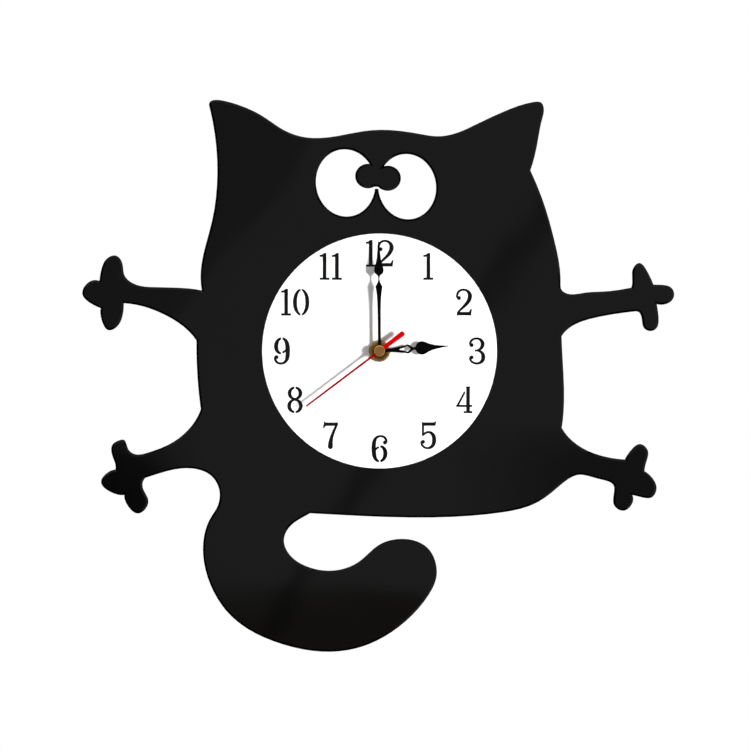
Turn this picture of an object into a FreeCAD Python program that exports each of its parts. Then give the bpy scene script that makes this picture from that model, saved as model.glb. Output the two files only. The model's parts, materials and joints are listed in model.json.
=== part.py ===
"""Cat-shaped acrylic wall clock with a stencil dial and a quartz movement.

The clock is drawn lying on its back on a bench: x to the right, y towards the ears and
z from the wall towards the viewer, with the origin on the hand spindle at the wall plane.
stand_up() then turns it upright, so in the written files +Z is up and +Y is into the wall.
All sizes are in millimetres, and all angles in degrees.
"""
import math
import os

import FreeCAD
import Part

Vector = FreeCAD.Vector

# ---------------------------------------------------------------- driving dimensions
# stack along the spindle, measured out from the wall
CASE_DEPTH = 16.0
GASKET = 0.8
PLATE = 3.0
DIAL = 1.0
WASHER = 0.5
NUT = 2.2
PLATE_BACK = CASE_DEPTH + GASKET
PLATE_FRONT = PLATE_BACK + PLATE
DIAL_FRONT = PLATE_FRONT + DIAL
WASHER_FRONT = DIAL_FRONT + WASHER
NUT_FRONT = WASHER_FRONT + NUT
BUSH_FRONT = NUT_FRONT + 0.3
HOUR_HAND_BACK = BUSH_FRONT + 0.8
HOUR_PIPE_FRONT = HOUR_HAND_BACK + 0.9
MINUTE_HAND_BACK = HOUR_PIPE_FRONT + 1.1
MINUTE_PIPE_FRONT = MINUTE_HAND_BACK + 1.2
SECOND_HAND_BACK = MINUTE_PIPE_FRONT + 0.6
HAND_SHEET = 0.5
SECOND_SHEET = 0.3
CAP_HEIGHT = 1.6
CAP_ROUNDING = 0.5
COLLET = 0.6
SECOND_COLLET = 0.45
SECOND_COLLET_R = 1.0

# concentric spindle radii
ARBOR_R = 0.48
MINUTE_BORE_R = 0.55
MINUTE_PIPE_R = 1.6
HOUR_BORE_R = 1.68
HOUR_PIPE_R = 2.55
BUSH_BORE_R = 2.63
BUSH_R = 3.9
BUSH_HOLE_R = BUSH_R + 0.1
BUSH_CHAMFER = 0.2

# dial and fastening discs
DIAL_R = 60.0
NUMERAL_RADIUS = 49.8
GASKET_R = 9.0
WASHER_R = 5.45
NUT_R = 5.3
CAP_R = 2.8

# movement case
CASE = 56.0
WALL = 1.4
CASE_CORNER = 3.0
FRONT_WALL = CASE_DEPTH - WALL
CASE_HALF = CASE / 2
INSIDE = CASE_HALF - WALL
BAY_TOP = -12.0
CHAMBER_BOTTOM = BAY_TOP + 1.2
COVER = 1.2
COVER_GAP = 0.1
CASE_EDGE = 0.8
HANGER_HALF_WIDTH = 7.0
HANGER_HOLE_Y = 32.6
HANGER_HOLE_R = 3.0
HANGER_THICKNESS = 2.0
HANGER_TOP_R = 6.0
HANGER_CORNER = 5.8

# battery, an AA cell lying along x
CELL_R = 7.05
SLEEVE_R = 7.15
CELL_Y = -19.3
CELL_Z = 7.4
CELL_LEFT = -24.65
CELL_BODY = 49.5
NUB = 1.0
NUB_R = 2.75
CONTACT = 0.4
STRIP_Z = (4.0, 11.0)

# gear train: axes by distance and direction, levels by height out from the wall
WHEEL_DISTANCE = 9.0
ROTOR_DISTANCE = 7.0
MOTION_MODULE = 0.3
THIRD_MODULE = 2 * WHEEL_DISTANCE / 68
FINE_MODULE = 0.25
LEVEL_HOUR = (13.3, 14.3)
LEVEL_IDLER = (12.1, 13.0)
MIDDLE_PLATE = (10.8, 11.8)
LEVEL_CENTRE = (9.7, 10.5)
LEVEL_THIRD = (8.6, 9.4)
LEVEL_SECOND = (7.5, 8.3)
LEVEL_INTERMEDIATE = (6.4, 7.2)
REAR_BRIDGE = (5.1, 6.1)
STATOR = (8.9, 9.9)
CORE = (7.9, 8.9)
BOARD = (8.0, 9.2)
PIVOT_R = 0.4
MAGNET_R = 2.9
COIL_X = 22.6
COIL_SPAN = (-2.2, 13.2)
STATOR_SPAN = (-6.5, 17.5)
BAR_WIDTH = 3.5

# hands, as they stand on the clock face (clock angles, clockwise from twelve)
HOUR_ANGLE = 85.9
MINUTE_ANGLE = -0.5
SECOND_ANGLE = 233.0

# digits of the dial
DIGIT_HEIGHT = 13.4
DIGIT_WIDTH = 7.8
ONE_WIDTH = 5.1
DIGIT_GAP = 1.2
BRIDGE_HALF = 0.42
INK_SPREAD = 0.15

# fits and clearances
RUNNING = 0.03
SLIDING = 0.05
PIPE_CLEARANCE = 0.06
ENDSHAKE = 0.1
TINY = 1e-6


# ---------------------------------------------------------------- small helpers
def polar(radius, angle):
    """Point at an angle measured anticlockwise from +x."""
    return (radius * math.cos(math.radians(angle)), radius * math.sin(math.radians(angle)))


def box(x0, x1, y0, y1, z0, z1):
    return Part.makeBox(x1 - x0, y1 - y0, z1 - z0, Vector(x0, y0, z0))


def disc(radius, z0, z1, at=(0.0, 0.0)):
    return Part.makeCylinder(radius, z1 - z0, Vector(at[0], at[1], z0))


def ring(outer, inner, z0, z1, at=(0.0, 0.0)):
    return disc(outer, z0, z1, at).cut(disc(inner, z0 - 1, z1 + 1, at))


def prism(wire, z0, z1):
    """Solid of one closed wire drawn at z = 0."""
    solid = Part.Face(wire).extrude(Vector(0, 0, z1 - z0))
    solid.translate(Vector(0, 0, z0))
    return solid


def polygon(points, z0, z1):
    corners = [Vector(x, y, 0) for x, y in points]
    return prism(Part.makePolygon(corners + corners[:1]), z0, z1)


def curve(points):
    """Smooth curve through the points, as one edge."""
    spline = Part.BSplineCurve()
    spline.interpolate([Vector(x, y, 0) for x, y in points])
    return spline.toShape()


def line(start, end):
    return Part.LineSegment(Vector(*start, 0), Vector(*end, 0)).toShape()


def arc(start, middle, end):
    return Part.Arc(Vector(*start, 0), Vector(*middle, 0), Vector(*end, 0)).toShape()


def rounded_box(x0, x1, y0, y1, z0, z1, radius):
    solid = box(x0, x1, y0, y1, z0, z1)
    upright = [edge for edge in solid.Edges if abs(edge.BoundBox.ZLength - (z1 - z0)) < TINY]
    return solid.makeFillet(radius, upright)


def oval(centre, half_width, half_height, lean, z0, z1):
    """Ellipse, leaning anticlockwise by lean."""
    ellipse = Part.Ellipse(Vector(0, 0, 0), max(half_width, half_height), min(half_width, half_height))
    solid = prism(Part.Wire(ellipse.toShape()), z0, z1)
    quarter_turn = 90 if half_height > half_width else 0
    solid.rotate(Vector(0, 0, 0), Vector(0, 0, 1), quarter_turn + lean)
    solid.translate(Vector(centre[0], centre[1], 0))
    return solid


def join(first, *others):
    return first.fuse(list(others)).removeSplitter()


def cut_all(solid, *tools):
    return solid.cut(list(tools))


def notched_disc(radius, count, notch_r, z0, z1, at=(0.0, 0.0)):
    """Disc with small round notches all round its rim, for a finger grip."""
    notches = []
    for i in range(count):
        x, y = polar(radius + notch_r * 0.55, 360.0 * i / count)
        notches.append(disc(notch_r, z0 - 1, z1 + 1, (at[0] + x, at[1] + y)))
    return cut_all(disc(radius, z0, z1, at), *notches)


# ---------------------------------------------------------------- gears
TOOTH_RADII = (-1.15, 0.0, 0.85)
TOOTH_HALVES = (0.25, 0.19, 0.07)


def gear(teeth, module, level, at=(0.0, 0.0), phase=0.0):
    """Spur gear with straight-flanked teeth; phase is the angle of a tooth's centre."""
    pitch_r = teeth * module / 2
    step = 360.0 / teeth
    flank = [(pitch_r + rise * module, half * step) for rise, half in zip(TOOTH_RADII, TOOTH_HALVES)]
    points = []
    for i in range(teeth):
        centre = phase + i * step
        points += [polar(radius, centre - half) for radius, half in flank]
        points += [polar(radius, centre + half) for radius, half in reversed(flank)]
    solid = polygon(points, *level)
    solid.translate(Vector(at[0], at[1], 0))
    return solid


def meshing_phase(phase, teeth, mate_teeth, direction):
    """Phase that puts a gap of the mate on the gear's tooth, along the line of centres."""
    return direction + 180.0 - (phase - direction) * teeth / mate_teeth + 180.0 / mate_teeth


def lightened(wheel, count, hole_r, hole_radius, level, at):
    """Wheel with round holes through its web."""
    holes = []
    for i in range(count):
        x, y = polar(hole_radius, 360.0 * i / count + 18.0)
        holes.append(disc(hole_r, level[0] - 1, level[1] + 1, (at[0] + x, at[1] + y)))
    return cut_all(wheel, *holes)


def offset(start, distance, direction):
    x, y = polar(distance, direction)
    return (start[0] + x, start[1] + y)


SPINDLE = (0.0, 0.0)
IDLER_DIRECTION = 135.0
KNOB_DIRECTION = 180.0
THIRD_DIRECTION = 100.0
ROTOR_DIRECTION = 20.0
IDLER = offset(SPINDLE, WHEEL_DISTANCE, IDLER_DIRECTION)
KNOB = offset(IDLER, WHEEL_DISTANCE, KNOB_DIRECTION)
THIRD = offset(SPINDLE, WHEEL_DISTANCE, THIRD_DIRECTION)
INTERMEDIATE = offset(SPINDLE, WHEEL_DISTANCE, ROTOR_DIRECTION)
ROTOR = offset(INTERMEDIATE, ROTOR_DISTANCE, ROTOR_DIRECTION)


# ---------------------------------------------------------------- cat silhouette
# Smooth stretches, clockwise from the left ear's tip; each starts where the last one ends,
# and the outline has a corner wherever two stretches meet.
CAT_OUTLINE = [
    # left ear tip, crown and right ear
    [(-86.9, 125.4), (-86.2, 127.3), (-84.4, 128.0), (-80.4, 127.8), (-70, 124.8), (-60, 120.0),
     (-50, 113.3), (-38, 109.0), (-33, 108.6), (-20, 109.9), (-6, 112.4), (0, 112.8), (20, 110.8),
     (30, 109.5), (40, 111.4), (50, 115.9), (66, 123.2), (78, 126.9), (82.7, 126.5), (83.7, 124.2),
     (82.8, 118), (80.3, 105), (78.7, 98), (76.9, 92.2)],
    # right cheek and the upper edge of the right arm
    [(76.9, 92.2), (83.9, 75), (89.5, 55), (92.3, 35), (92.9, 31.1), (94.8, 29.6), (105, 29.7),
     (115, 30.3), (128.6, 32.3)],
    # right hand: upper, middle and lower toe, then the underside of the arm
    [(128.6, 32.3), (129.1, 37), (129.5, 42), (132.3, 44.8), (136.2, 41.3), (139.7, 33.8)],
    [(139.7, 33.8), (144, 33.7), (149, 32.1), (150.3, 29), (149.4, 26.2), (145.5, 23.9), (141.4, 24.1)],
    [(141.4, 24.1), (142.4, 16), (141, 11.4), (138.2, 10.3), (135.2, 11.7), (134, 16.3), (132.3, 20),
     (129, 20.2), (110, 17.1), (95.5, 10.8), (92.8, 7.6)],
    # right flank and the upper edge of the right leg
    [(92.8, 7.6), (93.9, -14), (93.7, -33), (92.9, -39.3)],
    [(92.9, -39.3), (100, -47.3), (112, -53.2), (125.3, -55.5)],
    # right foot: upper, middle and lower toe, then the leg, the belly and the root of the tail
    [(125.3, -55.5), (129, -50), (133.1, -47.6), (136.8, -50.7), (136.2, -56.2), (135.2, -61.4)],
    [(135.2, -61.4), (139.8, -65.7), (141.3, -70.3), (138.9, -74.6), (134, -74.6), (128.9, -73.4)],
    [(128.9, -73.4), (128.6, -78.3), (124.3, -81.4), (119.9, -78.7), (119.7, -73.2), (119.6, -68.6),
     (112, -65.2), (101.5, -63.1), (90, -70.3), (80, -77.4), (60, -82.6), (20, -84.9), (-15, -83.8),
     (-35.5, -82.7)],
    # tail: hollow of the hook up to its tip, then round the outside to the left leg
    [(-35.5, -82.7), (-40, -85.2), (-46, -89.7), (-48.9, -96.5), (-45, -105.1), (-38, -109.7),
     (-24, -112.2), (-10, -107.3),
     (0, -98.9), (11, -96), (18, -96.9), (24.6, -100.7), (28.4, -107.5), (29, -115), (24.6, -125),
     (10.7, -140), (-10, -151.1), (-25, -153.4), (-50, -149.4), (-75.8, -135), (-88.6, -112),
     (-90, -100), (-86, -85), (-82.9, -80), (-81.5, -72), (-85.6, -63.8), (-95, -59.9),
     (-110, -61.6), (-119.7, -64.7)],
    # left foot: lower, middle and upper toe, then the upper edge of the leg
    [(-119.7, -64.7), (-120.7, -70.5), (-118.1, -77), (-123.2, -82.8), (-127.9, -79.6), (-130.1, -73.3)],
    [(-130.1, -73.3), (-136.5, -72.2), (-142, -66.5), (-139.6, -62.8), (-134.7, -60.6)],
    [(-134.7, -60.6), (-134.7, -58), (-136.4, -53), (-136.3, -48), (-133.5, -45.9), (-130.6, -45.4),
     (-128.4, -50), (-125, -52.7), (-118, -51.9), (-105, -46.4), (-95, -37.2), (-91.1, -29.8)],
    # left flank and the underside of the left arm
    [(-91.1, -29.8), (-93, -10), (-93.3, 5.4)],
    [(-93.3, 5.4), (-97.5, 10.4), (-110, 18.8), (-120, 22.7), (-130.6, 24.5)],
    # left hand: lower, middle and upper toe, then the upper edge of the arm
    [(-130.6, 24.5), (-131.4, 17.5), (-134.4, 12.2), (-138.2, 10.7), (-141.2, 14.3), (-142.1, 21.9)],
    [(-142.1, 21.9), (-147, 24.2), (-151.6, 29.4), (-149.4, 34.2), (-142.9, 35.7)],
    [(-142.9, 35.7), (-141.7, 42.3), (-138.6, 47.5), (-134.6, 48.6), (-131.6, 45.4), (-130.3, 38.7),
     (-125.5, 34.3), (-115, 32.5), (-97, 31.8), (-90.6, 30.8)],
    # left cheek and the outer edge of the left ear
    [(-90.6, 30.8), (-90.9, 43), (-85.7, 64.9), (-82.7, 88), (-84, 111), (-86.9, 125.4)],
]

# each eye and pupil: centre, half width, half height and lean
LEFT_EYE = ((-17.3, 85.8), 15.25, 17.3, 8.0)
RIGHT_EYE = ((14.1, 83.9), 14.85, 16.8, 8.0)
LEFT_PUPIL = ((-5.9, 89.3), 6.4, 6.15, 0.0)
RIGHT_PUPIL = ((4.2, 88.2), 6.6, 6.3, 0.0)
BROW = ((-1.6, 87.1), 3.2)
EYE_LINK = (-2.7, -0.3, 82.7, 84.6)


def cat_body_plate():
    edges = [curve(stretch) for stretch in CAT_OUTLINE]
    plate = prism(Part.Wire(edges), PLATE_BACK, PLATE_FRONT)
    low = PLATE_BACK - 1
    high = PLATE_FRONT + 1
    eyes = join(oval(*LEFT_EYE, low, high), oval(*RIGHT_EYE, low, high), box(*EYE_LINK, low, high))
    pupils = join(oval(*LEFT_PUPIL, low, high), oval(*RIGHT_PUPIL, low, high),
                  disc(BROW[1], low, high, BROW[0]))
    return cut_all(plate, eyes.cut(pupils), disc(BUSH_HOLE_R, low, high))


# ---------------------------------------------------------------- dial
def ribbon(points, z0, z1):
    """Pen stroke along (x, y, width) points, square at both ends and widened by INK_SPREAD."""
    spine = Part.BSplineCurve()
    spine.interpolate([Vector(*point) for point in points])
    last = spine.LastParameter
    samples = 4 * len(points)
    left = []
    right = []
    for i in range(samples + 1):
        parameter = last * i / samples
        x, y, width = spine.value(parameter)
        dx, dy, _ = spine.tangent(parameter)[0]
        length = math.hypot(dx, dy)
        half = (width + INK_SPREAD) / 2
        across = (-dy / length * half, dx / length * half)
        left.append((x + across[0], y + across[1]))
        right.append((x - across[0], y - across[1]))
    wire = Part.Wire([curve(left), line(left[-1], right[-1]), curve(right[::-1]), line(right[0], left[0])])
    return prism(wire, z0, z1)


BALL_R = 0.9
HALF = DIGIT_HEIGHT / 2


def elliptic_ring(centre_y, outer, inner, z0, z1):
    """Upright oval ring on x = 0; outer and inner are (half width, half height)."""
    outside = oval((0, centre_y), *outer, 0, z0, z1)
    return outside.cut(oval((0, centre_y), *inner, 0, z0 - 1, z1 + 1))


def digit_0(z0, z1):
    bowl = elliptic_ring(0, (4.05, HALF), (2.3, HALF - 0.7), z0, z1)
    return bowl.cut(box(-BRIDGE_HALF, BRIDGE_HALF, -HALF - 1, HALF + 1, z0 - 1, z1 + 1))


def digit_1(z0, z1):
    stem = box(-0.8, 0.8, -HALF, HALF - 0.5, z0, z1)
    foot = box(-2.35, 2.35, -HALF, -HALF + 0.85, z0, z1)
    flag = polygon([(-2.4, 5.0), (-2.4, 5.75), (-1.3, 5.85), (-0.3, HALF), (0.8, HALF), (0.8, 5.0)], z0, z1)
    return join(stem, foot, flag)


def digit_2(z0, z1):
    swan = ribbon([(-3.5, 2.3, 0.7), (-3.45, 4.1, 0.8), (-2.4, 5.7, 0.75), (-0.2, 6.35, 0.75),
                   (1.9, 5.5, 1.1), (2.95, 3.2, 1.75), (2.1, 0.4, 1.6), (0, -2.1, 1.1),
                   (-2.1, -4.1, 0.8), (-3.3, -5.6, 0.7)], z0, z1)
    base = polygon([(-3.7, -7.0), (-3.5, -5.1), (2.6, -5.1), (3.3, -3.6), (3.8, -3.6), (3.4, -6.6),
                    (-3.2, -6.6)], z0, z1)
    return join(swan, base, disc(BALL_R, z0, z1, (-2.65, 2.1)))


def digit_3(z0, z1):
    top = ribbon([(-3.5, 3.2, 0.6), (-3.3, 4.8, 0.8), (-2, 6.05, 0.75), (0, 6.35, 0.75), (2, 5.4, 1.2),
                  (2.75, 3.6, 1.6), (2, 1.5, 1.2), (0.6, 0.5, 0.75), (-1.1, 0.2, 0.6)], z0, z1)
    bottom = ribbon([(-1.1, 0.2, 0.6), (1, 0, 0.8), (2.6, -1.2, 1.3), (3.1, -3.2, 1.7), (2.3, -5.3, 1.3),
                     (0.1, -6.35, 0.8), (-2.2, -5.8, 0.75), (-3.4, -4.6, 0.75), (-3.55, -3.2, 0.6)], z0, z1)
    return join(top, bottom, disc(BALL_R, z0, z1, (-2.85, 3.0)), disc(BALL_R, z0, z1, (-2.9, -3.3)))


def digit_4(z0, z1):
    stem = box(1.2, 2.8, -HALF, HALF, z0, z1)
    head = box(1.0, 3.0, HALF - 0.4, HALF, z0, z1)
    foot = box(-0.1, 4.0, -HALF, -HALF + 0.85, z0, z1)
    crossbar = box(-3.9, 4.0, -3.5, -2.7, z0, z1)
    slant = polygon([(-4.1, -3.5), (0.05, 4.3), (0.55, 3.6), (-3.2, -3.5)], z0, z1)
    return join(stem, head, foot, crossbar, slant)


def digit_5(z0, z1):
    flag = polygon([(-3.2, 5.1), (-3.3, 7.0), (-2.6, 6.6), (3.0, 6.6), (3.5, 7.2), (3.85, 7.1), (3.4, 5.1)],
                   z0, z1)
    stem = box(-3.2, -2.35, 0, 6, z0, z1)
    bowl = ribbon([(-2.9, 0.1, 0.7), (-1.4, 1.35, 0.8), (0.4, 1.75, 0.85), (2.2, 0.6, 1.4),
                   (2.95, -2.2, 1.75), (2.1, -5.2, 1.35), (0, -6.35, 0.8), (-2.4, -5.7, 0.75),
                   (-3.4, -4.3, 0.75), (-3.5, -3.1, 0.6)], z0, z1)
    return join(flag, stem, bowl, disc(BALL_R, z0, z1, (-2.8, -3.2)))


def digit_6(z0, z1):
    back = ribbon([(3.45, 3.1, 0.6), (3.3, 4.6, 0.85), (2.1, 6.0, 0.8), (0.3, 6.35, 0.75), (-1.5, 5.7, 1.0),
                   (-2.7, 3.6, 1.6), (-3.0, 0.5, 1.8), (-2.8, -2.8, 1.8), (-1.95, -5.3, 1.3),
                   (-0.45, -6.45, 0.75)], z0, z1)
    bowl = ribbon([(0.5, 1.15, 0.7), (2.0, 0.4, 1.2), (2.95, -2.4, 1.75), (2.2, -5.1, 1.35),
                   (0.5, -6.4, 0.75)], z0, z1)
    tongue = ribbon([(-0.4, 0.75, 0.65), (-1.4, 0.2, 0.65), (-2.4, -1.0, 0.7)], z0, z1)
    return join(back, bowl, tongue, disc(BALL_R, z0, z1, (2.75, 3.15)))


def digit_7(z0, z1):
    flag = polygon([(-3.25, 7.1), (-3.85, 3.9), (-3.4, 3.9), (-2.6, 5.1), (3.3, 5.1), (3.7, 6.55),
                    (-2.6, 6.55)], z0, z1)
    stem = ribbon([(3.2, 5.9, 0.85), (1.8, 2.8, 1.0), (0.4, -1.0, 1.4), (-0.15, -4.4, 2.0),
                   (-0.2, -5.8, 2.15)], z0, z1)
    return join(flag, stem, disc(1.07, z0, z1, (-0.2, -5.7)))


def digit_8(z0, z1):
    top = elliptic_ring(3.35, (3.6, 3.35), (1.95, 2.45), z0, z1)
    bottom = elliptic_ring(-3.1, (3.85, 3.6), (2.15, 2.75), z0, z1)
    bridge = box(-BRIDGE_HALF, BRIDGE_HALF, 4.5, HALF + 1, z0 - 1, z1 + 1)
    return cut_all(join(top, bottom), bridge, bridge.mirror(Vector(0, 0, 0), Vector(0, 1, 0)))


def digit_9(z0, z1):
    """A six, turned upside down."""
    nine = digit_6(z0, z1)
    nine.rotate(Vector(0, 0, 0), Vector(0, 0, 1), 180)
    return nine


DIGITS = [digit_0, digit_1, digit_2, digit_3, digit_4, digit_5, digit_6, digit_7, digit_8, digit_9]


def numeral_cutters(hour, z0, z1):
    """Solids that cut the hour's upright numeral through the dial."""
    digits = [int(letter) for letter in str(hour)]
    widths = [ONE_WIDTH if digit == 1 else DIGIT_WIDTH for digit in digits]
    x, y = polar(NUMERAL_RADIUS, 90.0 - 30.0 * hour)
    left = x - (sum(widths) + DIGIT_GAP * (len(digits) - 1)) / 2
    cutters = []
    for digit, width in zip(digits, widths):
        cutter = DIGITS[digit](z0, z1)
        cutter.translate(Vector(left + width / 2, y, 0))
        cutters.append(cutter)
        left += width + DIGIT_GAP
    return cutters


def dial_disc():
    blank = disc(DIAL_R, PLATE_FRONT, DIAL_FRONT)
    cutters = [disc(BUSH_HOLE_R, PLATE_FRONT - 1, DIAL_FRONT + 1)]
    for hour in range(1, 13):
        cutters += numeral_cutters(hour, PLATE_FRONT - 1, DIAL_FRONT + 1)
    return cut_all(blank, *cutters)


# ---------------------------------------------------------------- centre fastening
def rubber_washer():
    return ring(GASKET_R, BUSH_HOLE_R, CASE_DEPTH, PLATE_BACK)


def threaded_bush():
    bush = ring(BUSH_R, BUSH_BORE_R, FRONT_WALL, BUSH_FRONT)
    front_rims = [edge for edge in bush.Edges if edge.BoundBox.ZMin > BUSH_FRONT - TINY]
    return bush.makeChamfer(BUSH_CHAMFER, front_rims)


def brass_washer():
    return ring(WASHER_R, BUSH_HOLE_R, DIAL_FRONT, WASHER_FRONT)


def brass_nut():
    """Round nut, notched for the fingers and coned towards the hands."""
    cone_height = 0.8
    grip = notched_disc(NUT_R, 40, 0.3, WASHER_FRONT, NUT_FRONT)
    cone = Part.makeCone(NUT_R + cone_height, NUT_R - cone_height, 2 * cone_height,
                         Vector(0, 0, NUT_FRONT - 2 * cone_height))
    blank = join(disc(NUT_R + 1, WASHER_FRONT, NUT_FRONT - 2 * cone_height), cone)
    return grip.common(blank).cut(disc(BUSH_R, WASHER_FRONT - 1, NUT_FRONT + 1))


# ---------------------------------------------------------------- hands
def blade(stretches, z0, z1):
    """Symmetric blade pointing at twelve, from the smooth stretches of its right-hand edge."""
    right = [curve(stretch) for stretch in stretches]
    left = [curve([(-x, y) for x, y in stretch[::-1]]) for stretch in stretches[::-1]]
    heel = stretches[0][0]
    tip = stretches[-1][-1]
    edges = right + [line(tip, (-tip[0], tip[1]))] + left + [line((-heel[0], heel[1]), heel)]
    return prism(Part.Wire(edges), z0, z1)


def set_hand(hand, clock_angle):
    hand.rotate(Vector(0, 0, 0), Vector(0, 0, 1), -clock_angle)
    return hand


HOUR_EDGE = [
    [(0.8, 1.5), (0.9, 5), (1.3, 9), (2.35, 14.5)],
    [(2.35, 14.5), (1.5, 16), (0.7, 17.4), (1.0, 18.5)],
    [(1.0, 18.5), (2.75, 19.7), (3.4, 21.7), (2.15, 25), (0.85, 29.8), (0.22, 35.2)],
]
HOUR_WINDOW = [(0, 10), (1.4, 14.3), (0, 15.9), (-1.4, 14.3)]
MINUTE_EDGE = [
    [(0.85, 1.5), (0.76, 8), (0.8, 18), (1.05, 27), (1.77, 32.8)],
    [(1.77, 32.8), (0.5, 35.3), (0.4, 37.6), (1.1, 38.8)],
    [(1.1, 38.8), (2.2, 39.9), (2.4, 41.4), (1.45, 45), (0.72, 50.5), (0.18, 55.8)],
]
NEEDLE_EDGE = [
    [(0.8, 1), (0.75, 4.6), (0.56, 6.8)],
    [(0.56, 6.8), (0.54, 20), (0.46, 46.7)],
]
COUNTERWEIGHT_R = 1.35
COUNTERWEIGHT_Y = -14.3
COUNTERWEIGHT = [(-1.0, 0), (-COUNTERWEIGHT_R, COUNTERWEIGHT_Y), (COUNTERWEIGHT_R, COUNTERWEIGHT_Y),
                 (1.0, 0)]
HOUR_HUB_R = 3.3
MINUTE_HUB_R = 3.1
SECOND_HUB_R = 2.2


def hour_hand():
    z0 = HOUR_HAND_BACK
    z1 = z0 + HAND_SHEET
    sheet = join(blade(HOUR_EDGE, z0, z1), disc(HOUR_HUB_R, z0, z1))
    window = polygon(HOUR_WINDOW, z0 - 1, z1 + 1)
    return set_hand(cut_all(sheet, window, disc(HOUR_PIPE_R, z0 - 1, z1 + 1)), HOUR_ANGLE)


def minute_hand():
    z0 = MINUTE_HAND_BACK
    z1 = z0 + HAND_SHEET
    sheet = join(blade(MINUTE_EDGE, z0, z1), disc(MINUTE_HUB_R, z0, z1))
    return set_hand(sheet.cut(disc(MINUTE_PIPE_R, z0 - 1, z1 + 1)), MINUTE_ANGLE)


def second_hand():
    z0 = SECOND_HAND_BACK
    z1 = z0 + SECOND_SHEET
    tail = join(polygon(COUNTERWEIGHT, z0, z1), disc(COUNTERWEIGHT_R, z0, z1, (0, COUNTERWEIGHT_Y)))
    sheet = join(blade(NEEDLE_EDGE, z0, z1), tail, disc(SECOND_HUB_R, z0, z1))
    return set_hand(sheet.cut(disc(ARBOR_R, z0 - 1, z1 + 1)), SECOND_ANGLE)


def hour_hand_collet():
    return ring(HOUR_HUB_R - 0.15, HOUR_PIPE_R, HOUR_HAND_BACK - COLLET, HOUR_HAND_BACK)


def minute_hand_collet():
    return ring(MINUTE_HUB_R - 0.5, MINUTE_PIPE_R, MINUTE_HAND_BACK - COLLET, MINUTE_HAND_BACK)


def second_hand_collet():
    return ring(SECOND_COLLET_R, ARBOR_R, SECOND_HAND_BACK - SECOND_COLLET, SECOND_HAND_BACK)


def second_hand_cap():
    base = SECOND_HAND_BACK + SECOND_SHEET
    cap = disc(CAP_R, base, base + CAP_HEIGHT)
    rim = [edge for edge in cap.Edges if edge.BoundBox.ZMin > base + CAP_HEIGHT - TINY]
    return cap.makeFillet(CAP_ROUNDING, rim).cut(disc(ARBOR_R, base - 1, base + 1))


# ---------------------------------------------------------------- movement housing
CASE_POSTS = [(-24.2, 24.2), (24.2, 24.2), (-24.2, -9.0), (24.2, -9.0)]
PLATE_POSTS = [(-17.3, -7.6), (16.6, -7.6), (-17.3, 15.7), (16.6, 15.7)]
BRIDGE_PILLARS = [(-10.5, -6.5), (-12.0, 14.0), (9.0, 15.0), (7.0, -8.5)]
BOARD_POSTS = [(-18.0, 22.2), (14.0, 22.2)]
STATOR_PEGS = [(COIL_X, STATOR_SPAN[0] + BAR_WIDTH / 2), (COIL_X, STATOR_SPAN[1] - BAR_WIDTH / 2)]
PEG_R = 0.9
BOARD_PEG_R = 0.7
PEG_PROUD = 0.4
POST_R = 1.5
CORNER_POST_R = 1.6
NOTCH_HALF = 9.0
NOTCH_DEPTH = 5.0
SLOT_GAP = 0.1
POCKET_R = 7.4
POCKET_WALL = 0.8
POCKET_FLOOR = (3.2, 4.0)
KNOB_SHAFT_R = 1.0
KNOB_TIP_R = 0.8
IDLER_R = 0.6
BEARING_DEPTH = 0.5
LABEL_PANEL = (-3.5, 23.0, 1.0, 22.5)
PANEL_DEPTH = 0.2
MARK_DEPTH = 0.3
POLARITY_X = 19.5
POLARITY_Y = -6.5
SIGN_HALF = 1.8
SIGN_LINE = 0.35
ARROW_R = 10.2
ARROW_HALF_ANGLE = 32.0
ARROW_HEAD = 1.1


def front_case():
    """Housing, open at the back, with the gear chamber above and the battery bay below."""
    body = rounded_box(-CASE_HALF, CASE_HALF, -CASE_HALF, CASE_HALF, 0, CASE_DEPTH, CASE_CORNER)
    front_rim = [edge for edge in body.Edges if edge.BoundBox.ZMin > CASE_DEPTH - TINY]
    body = body.makeFillet(CASE_EDGE, front_rim)
    chamber = box(-INSIDE, INSIDE, CHAMBER_BOTTOM, INSIDE, -1, FRONT_WALL)
    bay = box(-INSIDE, INSIDE, -INSIDE, BAY_TOP, -1, FRONT_WALL)
    body = cut_all(body, chamber, bay)
    root = FRONT_WALL + 0.1
    posts = [disc(CORNER_POST_R, COVER, root, at) for at in CASE_POSTS]
    posts += [disc(POST_R, MIDDLE_PLATE[1], root, at) for at in PLATE_POSTS]
    posts += [disc(POST_R, BOARD[1], root, at) for at in BOARD_POSTS]
    posts += [disc(PEG_R, CORE[0] - PEG_PROUD, root, at) for at in STATOR_PEGS]
    posts += [disc(BOARD_PEG_R, BOARD[0] - PEG_PROUD, BOARD[1] + 0.1, at) for at in BOARD_POSTS]
    body = join(body, *posts)
    finger_notch = box(-NOTCH_HALF, NOTCH_HALF, -CASE_HALF - 1, -INSIDE + 1, -1, NOTCH_DEPTH)
    slot_width = CONTACT + SLOT_GAP
    slot = (BAY_TOP - 0.1, CHAMBER_BOTTOM + 0.1, STRIP_Z[0] - SLOT_GAP, STRIP_Z[1] + SLOT_GAP)
    contact_slots = [box(INSIDE - slot_width, INSIDE, *slot), box(-INSIDE, -INSIDE + slot_width, *slot)]
    deep = FRONT_WALL + BEARING_DEPTH
    return cut_all(
        body,
        disc(BUSH_R, FRONT_WALL - 1, CASE_DEPTH + 1),
        disc(IDLER_R + RUNNING, FRONT_WALL - 1, deep, IDLER),
        disc(KNOB_TIP_R + RUNNING, FRONT_WALL - 1, deep, KNOB),
        finger_notch,
        *contact_slots,
    )


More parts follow.
